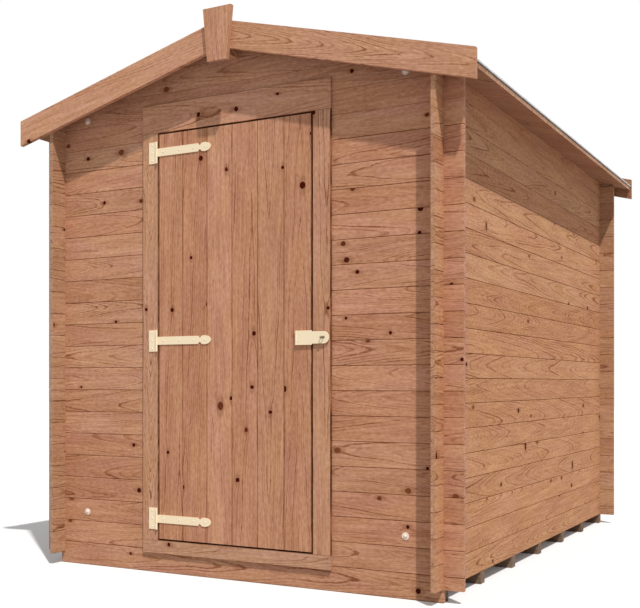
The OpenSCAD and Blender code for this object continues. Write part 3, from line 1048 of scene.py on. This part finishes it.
@dataclass
class Dresser:
    """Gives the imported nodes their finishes."""

    nodes: Mapping[str, Object]
    made: int = 0

    def dress(self, names: Sequence[str], material: Material) -> None:
        """Puts one material on some nodes.

        Args:
            names: Names of the nodes.
            material: The material.
        """
        for name in names:
            for place in self.nodes[name].material_slots:
                place.material = material
            LOG.info("dressed %s in %s", name, material.name)

    def timber(self, names: Sequence[str], timber: Timber, lie: Lie) -> None:
        """Puts timber on nodes whose boards lie alike.

        Args:
            names: Names of the nodes.
            timber: The finish.
            lie: How the boards lie.
        """
        if lie.heart is None:
            low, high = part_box(names[0])
            lie = replace(lie, heart=(low + high) / 2)
        self.made += 1
        self.dress(names, timber.material(lie, self.made))


@dataclass
class Walls:
    """Log walls and gables, and the tie bolts through the end walls."""

    dresser: Dresser
    bolt: Head = Head(0.008, 0.0045, 20, 8, washer_radius=0.0145, washer_height=0.002)
    # height from which joints and rings are painted fainter, standing in for the eave's shade
    sheltered: float = 1.7
    bolt_x: float = 0.752
    bolt_zs: tuple[float, ...] = (0.23, 1.928)

    def build(self) -> None:
        """Dresses the walls and adds the bolts."""
        ends = Lie(X, Z, SIZES.log_h, 0.0, sheltered=self.sheltered)
        sides = replace(ends, along=Y, joint=SIZES.log_h / 2)
        for names, finish, lie in (
            (["front_bottom_log", "front_gable"], LOG_TIMBER, ends),
            (["front_wall_left"], LOG_TIMBER, replace(ends, tone=0.965)),
            (["front_wall_right"], LOG_TIMBER, ends),
            (["back_wall", "back_gable"], BACK_TIMBER, ends),
            (["left_wall"], LEFT_TIMBER, sides),
            (["right_wall"], SIDE_TIMBER, sides),
        ):
            self.dresser.timber(names, finish, lie)
        spots = [
            Spot(Vector((x, end * SIZES.wall_y, z)), Vector((0, end, 0)))
            for end in (-1, 1)
            for x in (-self.bolt_x, self.bolt_x)
            for z in self.bolt_zs
        ]
        piece = self.bolt.place("tie_bolts", spots, PALE_ZINC.material())
        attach(piece, "shed")
        LOG.info("tie bolts: %d", len(spots))


@dataclass
class Floor:
    """Bearers, floor boards and the nails that hold them."""

    dresser: Dresser
    bearers: int = 7
    bearer_w: float = 0.045
    bearer_middle: float = 0.02375
    boards: int = 16
    nail: Head = Head(0.0024, 0.0006, 8, 3)
    nail_shares: tuple[float, ...] = (0.25, 0.75)  # across each board
    nail_inset: float = 0.033
    nail_spacing: float = 0.99  # of the rows, beside the spacing of the bearers

    def build(self) -> None:
        """Dresses the floor and adds the nails."""
        low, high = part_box("floor_boards")
        cover = (high.x - low.x) / self.boards
        pitch = (2 * SIZES.wall_y - self.bearer_w) / (self.bearers - 1)
        joint = -SIZES.wall_y - (pitch - self.bearer_w) / 2
        bearers = Lie(X, Y, pitch, joint, Vector((0, 0, self.bearer_middle)))
        self.dresser.timber(["floor_bearers"], BEARER_TIMBER, bearers)
        self.dresser.timber(["floor_boards"], TRIM_TIMBER, Lie(Y, X, cover, low.x))
        first = -SIZES.wall_y + self.nail_inset
        places = [
            (low.x + (board + share) * cover, first + row * pitch * self.nail_spacing, high.z)
            for board in range(self.boards)
            for share in self.nail_shares
            for row in range(self.bearers)
        ]
        spots = [Spot(Vector(place), Z) for place in places]
        piece = self.nail.place("floor_nails", spots, STEEL.material())
        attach(piece, "shed")
        LOG.info("floor nails: %d", len(spots))


@dataclass
class Roof:
    """Roof boards, purlin, barge boards and finials, and the felt with its clout nails."""

    dresser: Dresser
    boards: int = 23
    barge_w: float = 0.125
    barge_rise: float = 0.06
    barge_drop: float = 0.115
    finial_w: float = 0.14
    purlin_h: float = 0.08
    purlin_z: float = 2.083
    lap: float = 0.08
    lap_rise: float = 0.0027
    upper_run: float = 0.62
    upper_start: float = 0.005
    turn_down: float = 0.0075
    felt_inset: float = 0.0003  # at each end of the roof
    felt_gap: float = 0.0004  # under the felt of a slope
    cap_gap: float = 0.0005  # under the felt of the ridge
    cap_lift: float = 0.0006
    cap_nails: float = 0.13
    nail: Head = Head(0.0048, 0.0011, 10, 4)
    nail_step: float = 0.075
    nail_inset: float = 0.02
    end_nails: tuple[float, ...] = tuple(0.19 + index * 0.105 for index in range(8))

    def build(self) -> None:
        """Dresses the timber, then lays and nails the felt."""
        self._timber()
        self._felt()

    def _timber(self) -> None:
        """Dresses the roof's timber."""
        wood = self.dresser.timber
        low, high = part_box("roof_boards_right")
        cover = (high.y - low.y) / self.boards
        for side in (Side.RIGHT, Side.LEFT):
            down, up, word = side.down, side.up, side.name.lower()
            heart = SIZES.ridge + up * (SIZES.roof_board_t / 2)
            wood([f"roof_boards_{word}"], ROOF_TIMBER, Lie(down, Y, cover, low.y, heart, 0.75))
            reach = (SIZES.ridge + Vector((0, 0, self.barge_rise))).dot(up)
            barge = Lie(down, up, self.barge_w, reach - self.barge_drop)
            # the back barges get tone 0.7: painted shade, as if the roof shaded them
            for end, tone in (("front", 0.97), ("back", 0.7)):
                wood([f"{end}_barge_{word}"], TRIM_TIMBER, replace(barge, tone=tone))
        # the back finial gets tone 0.8, a little painted shade to go with the back barges
        for end, tone in (("front", 1.0), ("back", 0.8)):
            finial = Lie(Z, X, self.finial_w, -self.finial_w / 2, tone=tone)
            wood([f"{end}_finial"], TRIM_TIMBER, finial)
        wood(["ridge_purlin"], TRIM_TIMBER, Lie(Y, Z, self.purlin_h, self.purlin_z))

    def _felt(self) -> None:
        """Lays two strips on each slope and one over the ridge, and nails them."""
        material = FELT.material()
        length = 2 * SIZES.roof_y - 2 * self.felt_inset
        spots: list[Spot] = []
        laid: list[tuple[Object, str]] = []
        for side in (Side.RIGHT, Side.LEFT):
            word = side.name.lower()
            lower = FeltSheet(
                f"lower_felt_{word}",
                run=SIZES.slope_l - self.upper_run + self.lap + SIZES.felt_t,
                length=length,
                turn_down=self.turn_down,
                seed=5 + side.value,
            )
            upper = FeltSheet(
                f"upper_felt_{word}",
                run=self.upper_run,
                length=length,
                lap_rise=self.lap_rise,
                lap=self.lap,
                seed=15 + side.value,
            )
            for sheet, start in ((lower, self.upper_run - self.lap), (upper, self.upper_start)):
                piece = sheet.build(self._bed(side, start), SIZES.pitch * side.value, material)
                laid.append((piece, f"felt_{word}"))
            for reach in (SIZES.slope_l - self.nail_inset, self.upper_run - self.nail_inset):
                spots += self._row(self._top(side, reach), side.up, length)
            for end in (-1, 1):
                edge = Vector((0, end * (length / 2 - self.nail_inset), 0))
                spots += [Spot(self._top(side, at) + edge, side.up) for at in self.end_nails]
        cap = RidgeSheet(length)
        under = SIZES.roof_board_t + SIZES.felt_t + self.cap_gap
        height = SIZES.ridge_z + under / math.cos(SIZES.pitch) + self.cap_lift
        piece = cap.build(Vector((0, 0, height)), SIZES.pitch, material)
        laid.append((piece, "ridge_capping"))
        for side in Side:
            row = SIZES.ridge + side.up * (under + cap.thickness) + side.down * self.cap_nails
            spots += self._row(row, side.up, length)
        for piece, node in laid:
            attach(piece, "shed")
            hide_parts(node)
            LOG.info("laid %s over %s", piece.name, node)
        nails = self.nail.place("clout_nails", spots, STEEL.material())
        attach(nails, "shed")
        LOG.info("clout nails: %d", len(spots))

    def _bed(self, side: Side, reach: float) -> Vector:
        """Where the felt's underside is, that far down a slope from the ridge."""
        return SIZES.ridge + side.up * (SIZES.roof_board_t + self.felt_gap) + side.down * reach

    def _top(self, side: Side, reach: float) -> Vector:
        """Where the felt's face is, that far down, higher where two strips lap."""
        lift = self.lap_rise if abs(reach - self.upper_run) < self.lap else 0.0
        return self._bed(side, reach) + side.up * FeltSheet.thickness + side.up * lift

    def _row(self, middle: Vector, up: Vector, length: float) -> list[Spot]:
        """A row of nails along the roof.

        Args:
            middle: Middle of the row, on the felt.
            up: Direction square to the slope.
            length: Length of the felt.

        Returns:
            The nails' places.
        """
        count = int((length - 2 * self.nail_inset) / self.nail_step)
        first = -(count - 1) / 2 * self.nail_step
        return [
            Spot(middle + Vector((0, first + index * self.nail_step, 0)), up)
            for index in range(count)
        ]


@dataclass
class Door:
    """Ledged door in its frame, with its hinges and hasp and their screws."""

    dresser: Dresser
    boards: int = 6
    ledge_cover: float = 0.7
    ledge_joint: float = -0.13
    stop_cover: float = 0.5
    margin: float = 0.0001  # past each edge of a frame board, to take it for one board
    screw: Head = Head(0.0042, 0.0013, 16, 6)
    strap_screws: tuple[float, ...] = (0.034, 0.115, 0.185, 0.243)
    plate_screws: tuple[float, ...] = (0.033, 0.0, -0.033)
    plate_dx: float = -0.023
    hasp_screws: tuple[float, ...] = (0.017, 0.046)
    hasp_dz: float = 0.017
    ledge_screws: tuple[tuple[float, float], ...] = ((0.35, 0.024), (0.65, -0.024))

    def build(self) -> None:
        """Dresses the door and its frame, and adds the screws."""
        wood = self.dresser.timber
        boards = Lie(Z, X, SIZES.door_w / self.boards, SIZES.door_left)
        wood(["door_boards"], DOOR_TIMBER, boards)
        wood(["door_ledges"], DOOR_TIMBER, Lie(X, Z, self.ledge_cover, self.ledge_joint))
        for name, finish, along, across, tone in (
            ("door_post_left", POST_TIMBER, Z, X, 1.03),
            ("door_post_right", DOOR_TIMBER, Z, X, 0.94),
            ("door_sill", TRIM_TIMBER, X, Z, 0.81),
            ("door_head", TRIM_TIMBER, X, Z, 0.965),
        ):
            # each frame board is one board with its joint lines on its edges, so the dark joint
            # line also covers its edge faces: painted shade in the door gap, as on the door
            # boards' outer edges
            low, high = (corner.dot(across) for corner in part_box(name))
            cover = high - low + 2 * self.margin
            wood([name], finish, Lie(along, across, cover, low - self.margin, tone=tone))
        # painted shade: the stops get tone 0.55 to darken the gap round the door
        stops = Lie(Z, X, self.stop_cover, -self.stop_cover, tone=0.55)
        wood(["door_stops"], LOG_TIMBER, stops)
        cream = CREAM_IRON.material()
        iron = [
            f"{place}_hinge_{part}"
            for place in ("top", "middle", "bottom")
            for part in ("plate", "strap")
        ]
        self.dresser.dress([*iron, "hasp_plate", "hasp_flap"], cream)
        self.dresser.dress(["hasp_staple"], STAPLE_IRON_AND_SLOT_SHADE.material())
        self._screws(cream)

    def _screws(self, cream: Material) -> None:
        """Adds the screws of the hinges, the hasp and the ledges.

        Args:
            cream: Paint of the ironmongery.
        """
        out = Vector((0, -1, 0))
        y = SIZES.plate_front_y
        plates = [
            Spot(Vector((SIZES.hinge_x + self.plate_dx, y, z + dz)), out)
            for z in SIZES.hinge_zs
            for dz in self.plate_screws
        ]
        door = [
            Spot(Vector((SIZES.hinge_x + x, y, z)), out)
            for z in SIZES.hinge_zs
            for x in self.strap_screws
        ]
        door += [
            Spot(Vector((SIZES.hasp_x + x, y, SIZES.hasp_z + dz)), out)
            for x in self.hasp_screws
            for dz in (self.hasp_dz, -self.hasp_dz)
        ]
        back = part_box("door_ledges")[1].y
        ledges = []
        for z in SIZES.hinge_zs:
            for board in range(self.boards):
                for share, dz in self.ledge_screws:
                    x = SIZES.door_left + (board + share) * SIZES.door_w / self.boards
                    ledges.append(Spot(Vector((x, back, z + dz)), -out))
        for name, spots, body, material in (
            ("hinge_plate_screws", plates, "shed", cream),
            ("strap_and_hasp_screws", door, "door", cream),
            ("ledge_screws", ledges, "door", STEEL.material()),
        ):
            piece = self.screw.place(name, spots, material)
            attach(piece, body)
            LOG.info("%s: %d", name, len(spots))


@dataclass
class Studio:
    """Floor, light and camera."""

    reach: float = 30.0
    floor_z: float = -0.0005
    camera_at: tuple[float, float, float] = (2.239, -4.618, 0.788)
    yaw: float = math.radians(28.39)
    lens: float = 57.1
    shift_y: float = 0.124
    sun_from: tuple[float, float, float] = (0.40, -0.345, 0.876)
    sun_strength: float = 3.5
    sun_hue: Colour = (1.0, 0.985, 0.96)
    sun_width: float = math.radians(1.2)
    sky_strength: float = 0.57
    sky_hue: Colour = (0.95, 0.975, 1.0)

    def build(self) -> None:
        """Builds the studio."""
        self._floor()
        self._light()
        self._camera()

    def _floor(self) -> None:
        """Lays a wide plain floor just under the bearers."""
        mesh = bpy.data.meshes.new("studio_floor")
        turns = ((-1, -1), (1, -1), (1, 1), (-1, 1))
        corners = [(x * self.reach, y * self.reach, self.floor_z) for x, y in turns]
        mesh.from_pydata(corners, [], [(0, 1, 2, 3)])
        mesh.materials.append(PlainFloor().material())
        floor = stand("studio_floor", mesh)

    def _light(self) -> None:
        """Adds a soft sun and an even sky."""
        lamp = bpy.data.lights.new("soft_sun", "SUN")
        lamp.energy = self.sun_strength
        lamp.angle = self.sun_width
        lamp.color = self.sun_hue
        sun = stand("soft_sun", lamp)
        sun.rotation_mode = "QUATERNION"
        sun.rotation_quaternion = Vector(self.sun_from).to_track_quat("Z", "Y")
        world = bpy.data.worlds.new("even_sky")
        world.use_nodes = True
        make = NodeMaker(world.node_tree)
        even, white = (
            make.out("ShaderNodeBackground", {}, {"Color": hue, "Strength": strength})
            for hue, strength in ((self.sky_hue, self.sky_strength), (WHITE, 1.0))
        )
        sky = make.out("ShaderNodeMixShader", {}, {0: seen_straight(make), 1: even, 2: white})
        make.node("ShaderNodeOutputWorld", {}, {"Surface": sky})
        bpy.context.scene.world = world

    def _camera(self) -> None:
        """Adds the camera, level, at a standing person's distance."""
        data = bpy.data.cameras.new("camera")
        data.lens = self.lens
        data.sensor_width = 36.0
        data.shift_y = self.shift_y
        data.clip_end = 200.0
        camera = stand("camera", data)
        camera.location = self.camera_at
        camera.rotation_euler = (math.pi / 2, 0.0, self.yaw)
        bpy.context.scene.camera = camera


def main() -> None:
    """Dresses the shed piece by piece and sets up the studio."""
    logging.basicConfig(level=logging.INFO, format="%(name)s: %(message)s")
    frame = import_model()
    dresser = Dresser(frame["nodes"])
    Studio().build()
    Walls(dresser).build()
    Floor(dresser).build()
    Roof(dresser).build()
    Door(dresser).build()
    bpy.context.scene.view_settings.view_transform = "Standard"
    LOG.info("finished with %d timber finishes", dresser.made)


if __name__ == "__main__":
    main()
